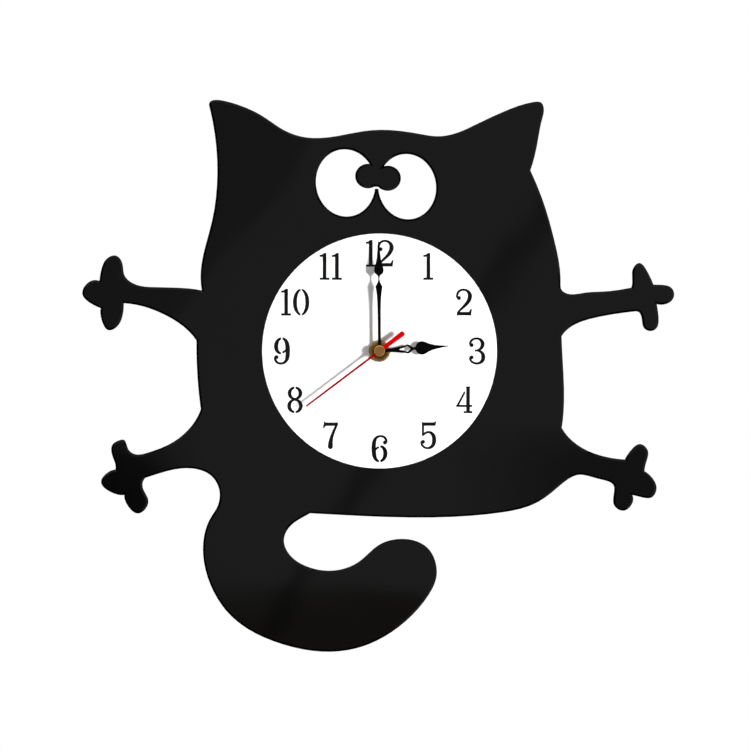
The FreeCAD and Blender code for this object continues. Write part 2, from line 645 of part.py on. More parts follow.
def hanger_tab():
    """Tab that stands on the case's top wall, flush with its back, and hangs on a nail."""
    tab = rounded_box(-HANGER_HALF_WIDTH, HANGER_HALF_WIDTH, CASE_HALF - 2 * HANGER_CORNER,
                      HANGER_HOLE_Y + HANGER_TOP_R, 0, HANGER_THICKNESS, HANGER_CORNER)
    above_case = box(-CASE_HALF, CASE_HALF, CASE_HALF, CASE, 0, HANGER_THICKNESS)
    return tab.common(above_case).cut(disc(HANGER_HOLE_R, -1, HANGER_THICKNESS + 1, (0, HANGER_HOLE_Y)))


def cover_marks():
    """Shallow marks in the lid: a blank label panel, the cell's polarity, and a turn arrow by the knob."""
    panel = rounded_box(*LABEL_PANEL, -1, PANEL_DEPTH, 1.0)
    minus = box(-SIGN_HALF, SIGN_HALF, -SIGN_LINE, SIGN_LINE, -1, MARK_DEPTH)
    plus = join(minus, box(-SIGN_LINE, SIGN_LINE, -SIGN_HALF, SIGN_HALF, -1, MARK_DEPTH))
    minus.translate(Vector(-POLARITY_X, POLARITY_Y, 0))
    plus.translate(Vector(POLARITY_X, POLARITY_Y, 0))
    groove = ring(ARROW_R + SIGN_LINE, ARROW_R - SIGN_LINE, -1, MARK_DEPTH, KNOB)
    reach = 2 * ARROW_R
    ends = [polar(reach, 90 - ARROW_HALF_ANGLE), polar(reach, 90 + ARROW_HALF_ANGLE)]
    sector = polygon([(0, 0)] + ends, -1, MARK_DEPTH)
    sector.translate(Vector(*KNOB, 0))
    head = polygon([(ARROW_R - ARROW_HEAD, 0), (ARROW_R + ARROW_HEAD, 0), (ARROW_R, -2 * ARROW_HEAD)],
                   -1, MARK_DEPTH)
    head.rotate(Vector(0, 0, 0), Vector(0, 0, 1), 90 - ARROW_HALF_ANGLE)
    head.translate(Vector(*KNOB, 0))
    arrow = join(groove.common(sector), head)
    return [panel, arrow, plus, minus]


def rear_cover():
    """Lid of the gear chamber, with a finger pocket round the setting knob."""
    x = INSIDE - COVER_GAP
    lid = rounded_box(-x, x, CHAMBER_BOTTOM + COVER_GAP, x, 0, COVER, 1.0)
    cup = disc(POCKET_R + POCKET_WALL, 0, POCKET_FLOOR[1], KNOB)
    lid = join(lid, cup)
    return cut_all(lid, disc(POCKET_R, -1, POCKET_FLOOR[0], KNOB),
                   disc(KNOB_SHAFT_R + SLIDING, -1, POCKET_FLOOR[1] + 1, KNOB), *cover_marks())


def middle_plate():
    """Plate between the motion work and the going train."""
    plate = rounded_box(-19.5, 18.8, -9.8, 17.9, *MIDDLE_PLATE, 2.0)
    low = MIDDLE_PLATE[0] - 1
    high = MIDDLE_PLATE[1] + 1
    return cut_all(
        plate,
        disc(MINUTE_PIPE_R + PIPE_CLEARANCE, low, high),
        disc(PIVOT_R + RUNNING, low, high, THIRD),
        disc(PIVOT_R + RUNNING, low, high, INTERMEDIATE),
        disc(PIVOT_R + RUNNING, low, high, ROTOR),
        disc(KNOB_SHAFT_R + SLIDING, low, high, KNOB),
        disc(IDLER_R + RUNNING, MIDDLE_PLATE[1] - BEARING_DEPTH, high, IDLER),
    )


def rear_bridge():
    """Rear bearing plate, standing off the middle plate on four pillars."""
    plate = rounded_box(-19.5, 18.8, -9.8, 17.4, *REAR_BRIDGE, 2.0)
    pillars = [disc(1.4, REAR_BRIDGE[0], MIDDLE_PLATE[0], at) for at in BRIDGE_PILLARS]
    low = REAR_BRIDGE[0] - 1
    high = REAR_BRIDGE[1] + 1
    return cut_all(
        join(plate, *pillars),
        disc(ARBOR_R + RUNNING, low, high),
        disc(PIVOT_R + RUNNING, low, high, THIRD),
        disc(PIVOT_R + RUNNING, low, high, INTERMEDIATE),
        disc(PIVOT_R + RUNNING, low, high, ROTOR),
        disc(KNOB_SHAFT_R + SLIDING, low, high, KNOB),
    )


# ---------------------------------------------------------------- wheels
CANNON_TEETH = 15
IDLER_TEETH = 45
IDLER_PINION_TEETH = 12
HOUR_TEETH = 48
CENTRE_TEETH = 64
THIRD_TEETH = 60
SMALL_PINION_TEETH = 8
SECOND_TEETH = 50
INTERMEDIATE_PINION_TEETH = 10
INTERMEDIATE_TEETH = 48

IDLER_PHASE = meshing_phase(0, CANNON_TEETH, IDLER_TEETH, IDLER_DIRECTION)
KNOB_PHASE = meshing_phase(IDLER_PHASE, IDLER_TEETH, CANNON_TEETH, KNOB_DIRECTION)
HOUR_PHASE = meshing_phase(0, IDLER_PINION_TEETH, HOUR_TEETH, IDLER_DIRECTION + 180.0)
THIRD_PHASE = meshing_phase(0, SMALL_PINION_TEETH, THIRD_TEETH, THIRD_DIRECTION)
CENTRE_PHASE = meshing_phase(0, SMALL_PINION_TEETH, CENTRE_TEETH, THIRD_DIRECTION + 180.0)
INTERMEDIATE_PHASE = meshing_phase(0, SECOND_TEETH, INTERMEDIATE_PINION_TEETH, ROTOR_DIRECTION)
ROTOR_PHASE = meshing_phase(0, INTERMEDIATE_TEETH, SMALL_PINION_TEETH, ROTOR_DIRECTION)
SEAT_R = 1.2
PINION_PROUD = 0.1
STAFF_R = 0.8
HOUR_WASHER_R = 2.9
KNOB_WASHER_R = 1.9
KNOB_WASHER = 0.3
KNOB_R = 6.2
KNOB_DISH_R = 4.4


def second_wheel():
    """Sixty-step wheel on the second arbor, with the pinion that drives the third wheel."""
    wheel = gear(SECOND_TEETH, MOTION_MODULE, LEVEL_SECOND)
    wheel = lightened(wheel, 5, 1.5, 4.6, LEVEL_SECOND, SPINDLE)
    pinion = gear(SMALL_PINION_TEETH, THIRD_MODULE, (LEVEL_SECOND[1], LEVEL_THIRD[1] + PINION_PROUD))
    return join(wheel, pinion).cut(disc(ARBOR_R, 0, CASE_DEPTH))


def second_arbor():
    """Steel arbor that carries the second hand, running right through the spindle."""
    return disc(ARBOR_R, REAR_BRIDGE[0] - 0.4, SECOND_HAND_BACK + SECOND_SHEET + 1.0)


def arbor(at):
    """Thin arbor with a pivot in the rear bridge and one in the middle plate."""
    return disc(PIVOT_R, REAR_BRIDGE[0] + ENDSHAKE, MIDDLE_PLATE[1] - ENDSHAKE, at)


def third_wheel():
    wheel = gear(THIRD_TEETH, THIRD_MODULE, LEVEL_THIRD, THIRD, THIRD_PHASE)
    wheel = lightened(wheel, 5, 1.7, 4.8, LEVEL_THIRD, THIRD)
    pinion = gear(SMALL_PINION_TEETH, FINE_MODULE, (LEVEL_THIRD[1], LEVEL_CENTRE[1] + PINION_PROUD), THIRD)
    staff = disc(STAFF_R, REAR_BRIDGE[1] + ENDSHAKE, LEVEL_THIRD[0], THIRD)
    return join(wheel, pinion, staff, arbor(THIRD))


def centre_wheel():
    """Wheel that slips on the minute pipe when the hands are set."""
    wheel = gear(CENTRE_TEETH, FINE_MODULE, LEVEL_CENTRE, SPINDLE, CENTRE_PHASE)
    wheel = lightened(wheel, 5, 1.7, 4.9, LEVEL_CENTRE, SPINDLE)
    return wheel.cut(disc(SEAT_R + RUNNING, 0, CASE_DEPTH))


def clutch_spring():
    """Five-legged spring washer that presses the centre wheel against the minute pipe."""
    z0 = LEVEL_CENTRE[1]
    z1 = z0 + 0.12
    legs = []
    for i in range(5):
        leg = box(1.4, 3.6, -0.35, 0.35, z0, z1)
        leg.rotate(Vector(0, 0, 0), Vector(0, 0, 1), 72.0 * i + 50.0)
        legs.append(leg)
    return join(disc(1.9, z0, z1), *legs).cut(disc(SEAT_R + RUNNING, 0, CASE_DEPTH))


def minute_pipe():
    """Cannon pinion: pipe for the minute hand, with its pinion and the clutch seat."""
    seat = disc(SEAT_R, LEVEL_THIRD[1] + PINION_PROUD + 0.15, LEVEL_CENTRE[1] + 0.2)
    pipe = disc(MINUTE_PIPE_R, LEVEL_CENTRE[1] + 0.2, MINUTE_PIPE_FRONT)
    pinion = gear(CANNON_TEETH, MOTION_MODULE, LEVEL_IDLER)
    return join(seat, pipe, pinion).cut(disc(MINUTE_BORE_R, 0, MINUTE_PIPE_FRONT + 1))


def idler_arbor():
    sunk = BEARING_DEPTH - SLIDING
    return disc(IDLER_R, MIDDLE_PLATE[1] - sunk, FRONT_WALL + sunk, IDLER)


def idler_wheel():
    wheel = gear(IDLER_TEETH, MOTION_MODULE, LEVEL_IDLER, IDLER, IDLER_PHASE)
    wheel = lightened(wheel, 5, 1.4, 4.3, LEVEL_IDLER, IDLER)
    pinion = gear(IDLER_PINION_TEETH, MOTION_MODULE, (LEVEL_IDLER[1], LEVEL_HOUR[1]), IDLER)
    return join(wheel, pinion).cut(disc(IDLER_R + RUNNING, 0, CASE_DEPTH, IDLER))


def hour_washer():
    bore_r = MINUTE_PIPE_R + PIPE_CLEARANCE
    return ring(HOUR_WASHER_R, bore_r, LEVEL_IDLER[1] + SLIDING, LEVEL_HOUR[0] - SLIDING)


def hour_wheel():
    """Twelve-hour wheel with the pipe for the hour hand."""
    wheel = gear(HOUR_TEETH, MOTION_MODULE, LEVEL_HOUR, SPINDLE, HOUR_PHASE)
    wheel = lightened(wheel, 5, 1.2, 4.9, LEVEL_HOUR, SPINDLE)
    pipe = disc(HOUR_PIPE_R, LEVEL_HOUR[0], HOUR_PIPE_FRONT)
    return join(wheel, pipe).cut(disc(HOUR_BORE_R, 0, HOUR_PIPE_FRONT + 1))


def knob_washer():
    z0 = LEVEL_IDLER[1] + SLIDING
    return ring(KNOB_WASHER_R, KNOB_TIP_R + SLIDING, z0, z0 + KNOB_WASHER, KNOB)


def setting_knob():
    """Knob in the rear pocket, its shaft and the pinion that turns the idler wheel."""
    grip = notched_disc(KNOB_R, 24, 0.5, 0.4, 3.0, KNOB)
    dish = disc(KNOB_DISH_R, 0, 0.9, KNOB)
    shaft = disc(KNOB_SHAFT_R, 2.9, LEVEL_IDLER[0], KNOB)
    pinion = gear(CANNON_TEETH, MOTION_MODULE, LEVEL_IDLER, KNOB, KNOB_PHASE)
    tip = disc(KNOB_TIP_R, LEVEL_IDLER[1], FRONT_WALL + BEARING_DEPTH - SLIDING, KNOB)
    return join(grip.cut(dish), shaft, pinion, tip)


# ---------------------------------------------------------------- stepping motor and electronics
def rotor_magnet():
    return ring(MAGNET_R, 0.8, STATOR[0] - 0.5, STATOR[1] + 0.5, ROTOR)


def rotor_pinion():
    """Moulded rotor shaft with the pinion that drives the intermediate wheel."""
    pinion = gear(SMALL_PINION_TEETH, FINE_MODULE, (LEVEL_INTERMEDIATE[0] - 0.1, LEVEL_INTERMEDIATE[1] + 0.1),
                  ROTOR, ROTOR_PHASE)
    staff = disc(STAFF_R, LEVEL_INTERMEDIATE[1] + 0.1, STATOR[1] + 0.7, ROTOR)
    return join(pinion, staff, arbor(ROTOR))


def intermediate_wheel():
    wheel = gear(INTERMEDIATE_TEETH, FINE_MODULE, LEVEL_INTERMEDIATE, INTERMEDIATE, 0)
    wheel = lightened(wheel, 4, 1.3, 3.8, LEVEL_INTERMEDIATE, INTERMEDIATE)
    pinion = gear(INTERMEDIATE_PINION_TEETH, MOTION_MODULE,
                  (LEVEL_INTERMEDIATE[1], LEVEL_SECOND[1] + PINION_PROUD), INTERMEDIATE, INTERMEDIATE_PHASE)
    return join(wheel, pinion, arbor(INTERMEDIATE))


def stator():
    """Sheet of soft iron in a C, with the rotor's hole in its long side."""
    x0 = ROTOR[0] - 3.8
    frame = box(x0, COIL_X + 2.2, *STATOR_SPAN, *STATOR)
    window = box(ROTOR[0] + 3.8, COIL_X + 3, STATOR_SPAN[0] + BAR_WIDTH, STATOR_SPAN[1] - BAR_WIDTH,
                 STATOR[0] - 1, STATOR[1] + 1)
    holes = [disc(PEG_R + SLIDING, STATOR[0] - 1, STATOR[1] + 1, at) for at in STATOR_PEGS]
    return cut_all(frame, window, disc(MAGNET_R + 0.4, STATOR[0] - 1, STATOR[1] + 1, ROTOR), *holes)


def coil_core():
    bar = box(COIL_X - 1.3, COIL_X + 1.3, *STATOR_SPAN, *CORE)
    return cut_all(bar, *[disc(PEG_R + SLIDING, CORE[0] - 1, CORE[1] + 1, at) for at in STATOR_PEGS])


CORE_Z = (CORE[0] + CORE[1]) / 2
FLANGE = 0.8


def square_around_core(half_x, half_z, y0, y1):
    return box(COIL_X - half_x, COIL_X + half_x, y0, y1, CORE_Z - half_z, CORE_Z + half_z)


def coil_bobbin():
    low, high = COIL_SPAN
    barrel = square_around_core(2.1, 1.3, low, high)
    flanges = [square_around_core(3.4, 3.4, y, y + FLANGE) for y in (low, high - FLANGE)]
    return join(barrel, *flanges).cut(square_around_core(1.35, 0.55, low - 1, high + 1))


def coil_winding():
    low = COIL_SPAN[0] + FLANGE
    high = COIL_SPAN[1] - FLANGE
    copper = square_around_core(3.0, 3.0, low, high)
    lengthwise = [edge for edge in copper.Edges if edge.BoundBox.YLength > 1]
    return copper.makeFillet(1.2, lengthwise).cut(square_around_core(2.1, 1.3, low - 1, high + 1))


def circuit_board():
    board = box(-21, 17, 18.4, 26.0, *BOARD)
    holes = [disc(BOARD_PEG_R + SLIDING, BOARD[0] - 1, BOARD[1] + 1, at) for at in BOARD_POSTS]
    return cut_all(board, *holes)


def quartz_crystal():
    can = Part.makeCylinder(1.0, 6.2, Vector(-10, 21.4, BOARD[0] - 1.0), Vector(1, 0, 0))
    return can.makeFillet(0.3, [edge for edge in can.Edges if edge.BoundBox.XMin > -3.9])


def chip_blob():
    """Drop of resin over the bonded chip."""
    radius = 5.0
    drop = Part.makeSphere(radius, Vector(4, 22.2, BOARD[0] + radius - 1.0))
    return drop.common(box(-5, 13, 13, 31, BOARD[0] - 2, BOARD[0]))


TONGUE_Y = (18.8, 22.0)
STRIP_BOTTOM = -24.0
STRIP_TOP = 22.2
LEAF_HALF = 4.3
LEAF_Z = (4.9, 9.9)


def contact_strip(side):
    """Strip along one side wall, from the battery bay up to a tongue on the circuit board."""
    inner = INSIDE - CONTACT
    strip = box(inner, INSIDE, STRIP_BOTTOM, STRIP_TOP, *STRIP_Z)
    tongue_end = 16.2 if side > 0 else 20.2
    tongue = box(tongue_end, INSIDE, *TONGUE_Y, BOARD[1] + 0.02, BOARD[1] + 0.02 + CONTACT)
    both = join(strip, tongue)
    if side < 0:
        both = both.mirror(Vector(0, 0, 0), Vector(1, 0, 0))
    return both


def positive_contact():
    button = Part.makeCylinder(3.0, 0.3, Vector(INSIDE - CONTACT - 0.3, CELL_Y, CELL_Z), Vector(1, 0, 0))
    return join(contact_strip(1), button)


def negative_contact():
    """Strip with a bowed leaf that presses on the flat end of the cell."""
    wall_x = -INSIDE + CONTACT
    apex = CELL_LEFT - 0.05
    foot, head = [(wall_x, CELL_Y - LEAF_HALF), (wall_x, CELL_Y + LEAF_HALF)]
    inner_foot, inner_head = [(wall_x, foot[1] + 1.0), (wall_x, head[1] - 1.0)]
    outer = arc(foot, (apex, CELL_Y), head)
    inner = arc(inner_foot, (apex - CONTACT, CELL_Y), inner_head)
    wire = Part.Wire([outer, line(head, inner_head), inner, line(inner_foot, foot)])
    return join(contact_strip(-1), prism(wire, *LEAF_Z))


def battery_cell():
    body = Part.makeCylinder(CELL_R, CELL_BODY, Vector(CELL_LEFT, CELL_Y, CELL_Z), Vector(1, 0, 0))
    ends = [edge for edge in body.Edges if edge.BoundBox.XLength < TINY]
    nub_start = Vector(CELL_LEFT + CELL_BODY - 0.1, CELL_Y, CELL_Z)
    nub = Part.makeCylinder(NUB_R, NUB + 0.1, nub_start, Vector(1, 0, 0))
    return join(body.makeFillet(0.5, ends), nub)


def battery_sleeve():
    start = CELL_LEFT + 0.6
    length = CELL_BODY - 1.2
    tube = Part.makeCylinder(SLEEVE_R, length, Vector(start, CELL_Y, CELL_Z), Vector(1, 0, 0))
    return tube.cut(Part.makeCylinder(CELL_R, length + 2, Vector(start - 1, CELL_Y, CELL_Z), Vector(1, 0, 0)))


# ---------------------------------------------------------------- the clock
PARTS = [
    cat_body_plate,
    dial_disc,
    rubber_washer,
    threaded_bush,
    brass_washer,
    brass_nut,
    hour_hand,
    hour_hand_collet,
    minute_hand,
    minute_hand_collet,
    second_hand,
    second_hand_collet,
    second_hand_cap,
    front_case,
    hanger_tab,
    rear_cover,
    middle_plate,
    rear_bridge,
    second_arbor,
    second_wheel,
    third_wheel,
    centre_wheel,
    clutch_spring,
    minute_pipe,
    idler_arbor,
    idler_wheel,
    hour_washer,
    hour_wheel,
    knob_washer,
    setting_knob,
    rotor_magnet,
    rotor_pinion,
    intermediate_wheel,
    stator,
    coil_core,
    coil_bobbin,
    coil_winding,
    circuit_board,
    quartz_crystal,
    chip_blob,
    positive_contact,
    negative_contact,
    battery_cell,
    battery_sleeve,
]


def stand_up(shape):
    """Turn from the bench frame to the wall: bench y becomes +Z and bench z becomes -Y."""
    upright = shape.copy()
    upright.rotate(Vector(0, 0, 0), Vector(1, 0, 0), 90)
    return upright


def main():
    os.makedirs("parts", exist_ok=True)
    for part in PARTS:
        shape = stand_up(part())
        print(part.__name__, len(shape.Solids), shape.isValid(), round(shape.Volume, 2))
        shape.exportStep(f"parts/{part.__name__}.step")


main()
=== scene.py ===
"""Finish, light and camera for the cat wall clock.

Everything is in metres in the row frame: +X to the right, +Z up and +Y into the wall, with the
origin on the hand spindle in the wall's plane. The CAD nodes keep their shapes, and get smooth
shading, softened edges and procedural finishes. The two flat sheets, the cat plate and the dial, are
shown by copies of their outlines with chamfered edges.
"""
import json
import math

import bmesh
import bpy
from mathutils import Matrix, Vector


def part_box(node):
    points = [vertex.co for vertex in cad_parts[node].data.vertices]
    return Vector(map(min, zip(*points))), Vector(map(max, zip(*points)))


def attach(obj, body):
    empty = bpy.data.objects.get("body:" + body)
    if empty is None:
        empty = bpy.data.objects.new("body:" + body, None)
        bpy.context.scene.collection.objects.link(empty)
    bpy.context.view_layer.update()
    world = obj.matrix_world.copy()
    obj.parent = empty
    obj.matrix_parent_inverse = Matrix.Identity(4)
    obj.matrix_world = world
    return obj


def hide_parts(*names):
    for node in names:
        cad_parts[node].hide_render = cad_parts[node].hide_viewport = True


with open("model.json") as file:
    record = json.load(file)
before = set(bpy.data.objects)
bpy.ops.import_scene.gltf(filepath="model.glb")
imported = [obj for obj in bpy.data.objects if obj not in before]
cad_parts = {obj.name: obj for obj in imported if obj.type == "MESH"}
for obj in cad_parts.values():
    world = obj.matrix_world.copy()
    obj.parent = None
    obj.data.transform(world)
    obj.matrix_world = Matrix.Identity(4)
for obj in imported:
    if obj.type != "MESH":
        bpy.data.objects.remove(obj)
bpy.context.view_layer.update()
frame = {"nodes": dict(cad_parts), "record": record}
NODES = frame["nodes"]
SLOT_OF = {part["node"]: part["material_slot"] for part in frame["record"]["subparts"]}

MM = 0.001

# ---------------------------------------------------------------- driving values
# Edges: outlines of the two sheets move outwards by the growth, then lose the chamfer.
PLATE_CHAMFER = 1.1 * MM
PLATE_GROWTH = 0.12 * MM
DIAL_CHAMFER = 0.10 * MM
DIAL_GROWTH = -0.14 * MM
WELD_WITHIN = 0.0005 * MM
OUTLINE_WELD = 0.001 * MM
SMOOTH_BELOW = math.radians(32)
BEVEL_ABOVE = math.radians(50)
FLAT_WITHIN = math.radians(0.2)
BEVEL_MM = {
    "front_case": 0.25, "rear_cover": 0.15, "hanger_tab": 0.3, "setting_knob": 0.15,
    "brass_nut": 0.3, "threaded_bush": 0.06, "brass_washer": 0.06,
}

# Metals and lacquers: painted shade makes the brass darker and browner behind the hands, and makes the red
# needle darker than its tail.
WHITE = (1.0, 1.0, 1.0, 1.0)
BRASS = (0.92, 0.44, 0.115, 1.0)
# painted shade: darker, browner brass for what sits behind the hands
SHADED_BRASS = (0.48, 0.285, 0.095, 1.0)
PALE_BRASS = (0.84, 0.50, 0.18, 1.0)
# painted shade: a darker red painted along the thin needle of the second hand
SHADED_NEEDLE_RED = (0.24, 0.001, 0.0015, 1.0)
HANDS_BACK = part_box("hour_hand")[1].y
TAIL_ANGLE = math.radians(54)
SECOND_HAND_TAIL = (math.sin(TAIL_ANGLE), 0.0, math.cos(TAIL_ANGLE))
TOOL_MARK_MM = 0.12
WIRE_MM = 0.12
TRACK_MM = 1.9
LABEL_BAND_FROM = 14.5 * MM

# Floor, camera and key lamp.
FLOOR_RADIUS = 0.92
FLOOR_SOLID = 0.30
FLOOR_HEIGHT = -0.30
FLOOR_TONES = ((0.79, 0.79, 0.785, 1.0), (0.83, 0.83, 0.825, 1.0))
CAMERA_AT = (-0.0023, -2.0198, -0.01224)
LENS = 188.2
SENSOR = 36.0
KEY_ANGLE = math.radians(35)
KEY_DISTANCE = 1.5
DIAL_CENTRE = Vector((0.0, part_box("dial_disc")[0].y, 0.0))
KEY_AT = DIAL_CENTRE + KEY_DISTANCE * Vector((math.sin(KEY_ANGLE), -math.cos(KEY_ANGLE), 0.0))

# The room that the gloss mirrors. A ray that leaves the clock forwards has a slope across and a slope
# upward. A line there is (a, b, c), where a * across + b * upward + c is 0.
ROOM_LEVEL = 0.245
MATT_SHARE = 0.3
WALL_LINE = (0.803, -0.596, 0.0484)
WALL_TONE = 0.64
WALL_BLUR = 0.0012
BEAM_LINE = (0.831, -0.555, -0.0126)
BEAM_TONE = 0.52
BEAM_INNER = 0.0012
BEAM_OUTER = 0.0040
ROOM_FLOOR = (-0.0590, -0.0535)
ROOM_FLOOR_TONE = 0.40
LOW_BAND = (-0.022, -0.012)
LOW_LEFT = (-0.062, -0.042)
LOW_LEFT_TONE = 0.12
LOW_RIGHT = (0.012, 0.058)
LOW_RIGHT_TONE = 0.45
WARM_FLOOR = (1.0, 0.92, 0.80, 1.0)


# ---------------------------------------------------------------- node graphs
class Graph:
    """A node tree with a short way to add a node and link its inputs."""

    def __init__(self, tree):
        self.tree = tree
        tree.nodes.clear()

    def add(self, kind, inputs=None, **settings):
        node = self.tree.nodes.new(kind)
        for key, value in settings.items():
            setattr(node, key, value)
        for key, value in (inputs or {}).items():
            socket = node.inputs[key]
            if isinstance(value, bpy.types.NodeSocket):
                self.tree.links.new(value, socket)
            else:
                socket.default_value = value
        return node

    def math(self, operation, a, b=0.0, c=0.0):
        return self.add("ShaderNodeMath", {0: a, 1: b, 2: c}, operation=operation).outputs[0]

    def times(self, *factors):
        product = factors[0]
        for factor in factors[1:]:
            product = self.math("MULTIPLY", product, factor)
        return product

    def inverse(self, value):
        return self.math("SUBTRACT", 1.0, value)

    def either(self, a, b):
        """1 where a or b is 1, for two levels between 0 and 1."""
        return self.inverse(self.times(self.inverse(a), self.inverse(b)))

    def ramp(self, value, start, end, low=0.0, high=1.0):
        """Smooth step of value between start and end, from low to high."""
        levels = {"Value": value, "From Min": start, "From Max": end, "To Min": low, "To Max": high}
        node = self.add("ShaderNodeMapRange", levels, interpolation_type="SMOOTHSTEP")
        return node.outputs["Result"]

    def mix(self, factor, a, b):
        node = self.add("ShaderNodeMix", {"Factor": factor}, data_type="RGBA")
        for socket, value in (("A_Color", a), ("B_Color", b)):
            target = next(s for s in node.inputs if s.identifier == socket)
            if isinstance(value, bpy.types.NodeSocket):
                self.tree.links.new(value, target)
            else:
                target.default_value = value
        return next(s for s in node.outputs if s.identifier == "Result_Color")

    def noise(self, vector, per_mm, detail=3.0, roughness=0.55):
        """Noise with per_mm patches to a millimetre."""
        settings = {"Vector": vector, "Scale": per_mm / MM, "Detail": detail, "Roughness": roughness}
        return self.add("ShaderNodeTexNoise", settings).outputs["Fac"]

    def place(self):
        """Position in the row frame at rest, in metres."""
        return self.add("ShaderNodeTexCoord").outputs["Object"]


def shade(colour, factor):
    """Opaque colour, lighter or darker by a factor."""
    return tuple(channel * factor for channel in colour[:3]) + (1.0,)


def surface(name, paint):
    """Material whose graph is filled in by paint(graph, principled node)."""
    material = bpy.data.materials.new(name)
    material.use_nodes = True
    graph = Graph(material.node_tree)
    principled = graph.add("ShaderNodeBsdfPrincipled")
    output = graph.add("ShaderNodeOutputMaterial")
    graph.tree.links.new(principled.outputs[0], output.inputs["Surface"])
    paint(graph, principled)
    return material


SOCKETS = {"colour": "Base Color", "roughness": "Roughness", "metallic": "Metallic", "normal": "Normal",
           "specular": "Specular IOR Level", "coat": "Coat Weight", "coat_roughness": "Coat Roughness",
           "alpha": "Alpha"}


def link(graph, principled, **inputs):
    """Set the principled node's inputs, by the short names above, to values or to other nodes."""
    for key, value in inputs.items():
        socket = principled.inputs[SOCKETS[key]]
        if isinstance(value, bpy.types.NodeSocket):
            graph.tree.links.new(value, socket)
        else:
            socket.default_value = value


def bumped(graph, height, depth_mm, strength):
    settings = {"Height": height, "Distance": depth_mm * MM, "Strength": strength}
    return graph.add("ShaderNodeBump", settings).outputs["Normal"]


# ---------------------------------------------------------------- finishes
def polished(colour, roughness):
    """Cast sheet: a faint long waviness and a few wiped smears in the gloss."""
    def paint(graph, principled):
        place = graph.place()
        wave = graph.noise(place, 0.018, 1.0)
        wipe = graph.noise(place, 0.06, 4.0)
        fine = graph.noise(place, 1.6, 2.0)
        hazed = graph.math("ADD", graph.ramp(wipe, 0.35, 0.75, roughness, roughness * 1.5),
                           graph.ramp(fine, 0.3, 0.8, 0.0, roughness * 0.4))
        tone = graph.mix(graph.ramp(wipe, 0.3, 0.7), shade(colour, 0.985), shade(colour, 1.015))
        link(graph, principled, colour=tone, roughness=hazed, normal=bumped(graph, wave, 0.25, 0.35))
    return paint


def moulded(colour, roughness, grain_mm, depth_mm, specular=0.4, variation=0.12):
    """Injection-moulded plastic with an eroded grain and slow flow marks."""
    def paint(graph, principled):
        place = graph.place()
        grain = graph.noise(place, 1 / grain_mm, 3.0, 0.6)
        flow = graph.noise(place, 0.08, 3.0)
        darker, lighter = shade(colour, 1 - variation), shade(colour, 1 + variation)
        tone = graph.mix(graph.ramp(flow, 0.3, 0.7), darker, lighter)
        tone = graph.mix(graph.ramp(grain, 0.35, 0.75, 0.0, 0.25), tone, shade(colour, 1.5))
        link(graph, principled, colour=tone, specular=specular,
             roughness=graph.ramp(flow, 0.25, 0.75, roughness * 0.88, min(1.0, roughness * 1.12)),
             normal=bumped(graph, grain, depth_mm, 0.8))
    return paint


def metal(colour, roughness, depth_mm, streak=(1.0, 1.0, 1.0)):
    """Metal with fine marks drawn out along the axes where streak is small."""
    def paint(graph, principled):
        place = graph.place()
        drawn = graph.add("ShaderNodeMapping", {"Vector": place, "Scale": streak}).outputs["Vector"]
        marks = graph.noise(drawn, 4.0, 4.0, 0.65)
        patina = graph.noise(place, 0.35, 3.0)
        tone = graph.mix(graph.ramp(patina, 0.3, 0.7), shade(colour, 0.9), shade(colour, 1.1))
        link(graph, principled, colour=tone, metallic=1.0,
             roughness=graph.math("ADD", graph.ramp(marks, 0.3, 0.75, roughness * 0.75, roughness * 1.25),
                                  graph.ramp(patina, 0.4, 0.8, 0.0, roughness * 0.25)),
             normal=bumped(graph, marks, depth_mm, 0.6))
    return paint


def turned(colour, roughness, shaded_colour=None):
    """Brass turned on the spindle's axis: rings of tool marks, a browner tarnish in patches, and a darker,
    browner colour, if one is given, painted as shade on what sits behind the hands."""
    def paint(graph, principled):
        place = graph.place()
        flat = graph.add("ShaderNodeVectorMath", {0: place, 1: (1.0, 0.0, 1.0)}, operation="MULTIPLY")
        radius = graph.add("ShaderNodeVectorMath", {0: flat.outputs[0]}, operation="LENGTH").outputs["Value"]
        groove = graph.math("SINE", graph.math("MULTIPLY", radius, 2 * math.pi / (TOOL_MARK_MM * MM)))
        wobble = graph.noise(place, 1.2, 3.0)
        marks = graph.math("MULTIPLY", groove, graph.ramp(wobble, 0.3, 0.7, 0.4, 1.0))
        patina = graph.ramp(graph.noise(place, 0.45, 3.0), 0.4, 0.75)
        tone = graph.mix(graph.math("MULTIPLY", patina, 0.25), colour, shade(colour, 0.55))
        # painted shade: brass behind the hands is painted in the darker, browner shaded colour
        if shaded_colour:
            depth = graph.add("ShaderNodeSeparateXYZ", {0: place}).outputs["Y"]
            tone = graph.mix(graph.ramp(depth, HANDS_BACK - 1 * MM, HANDS_BACK), tone, shaded_colour)
        link(graph, principled, colour=tone, metallic=1.0,
             roughness=graph.ramp(patina, 0.0, 1.0, roughness, roughness * 1.4),
             normal=bumped(graph, marks, 0.004, 0.5))
    return paint


def lacquered(colour, roughness, specular, shaded_needle=None):
    """Thin lacquer on sheet metal, with a slight orange-peel; shaded_needle is a darker colour painted as
    shade along a thin needle.
    """
    def paint(graph, principled):
        place = graph.place()
        peel = graph.noise(place, 1.1, 2.0)
        drift = graph.noise(place, 0.12, 2.0)
        tone = graph.mix(graph.ramp(drift, 0.3, 0.7), shade(colour, 0.94), shade(colour, 1.06))
        # painted shade: the red is painted darker along the thin needle, fading to the lacquer's own colour
        # towards the tail
        if shaded_needle:
            along = graph.add("ShaderNodeVectorMath", {0: place, 1: SECOND_HAND_TAIL},
                              operation="DOT_PRODUCT").outputs["Value"]
            tone = graph.mix(graph.ramp(along, -5 * MM, 9 * MM), shaded_needle, tone)
        link(graph, principled, colour=tone, specular=specular,
             roughness=graph.ramp(peel, 0.3, 0.7, roughness * 0.85, roughness * 1.15),
             normal=bumped(graph, peel, 0.008, 0.5))
    return paint


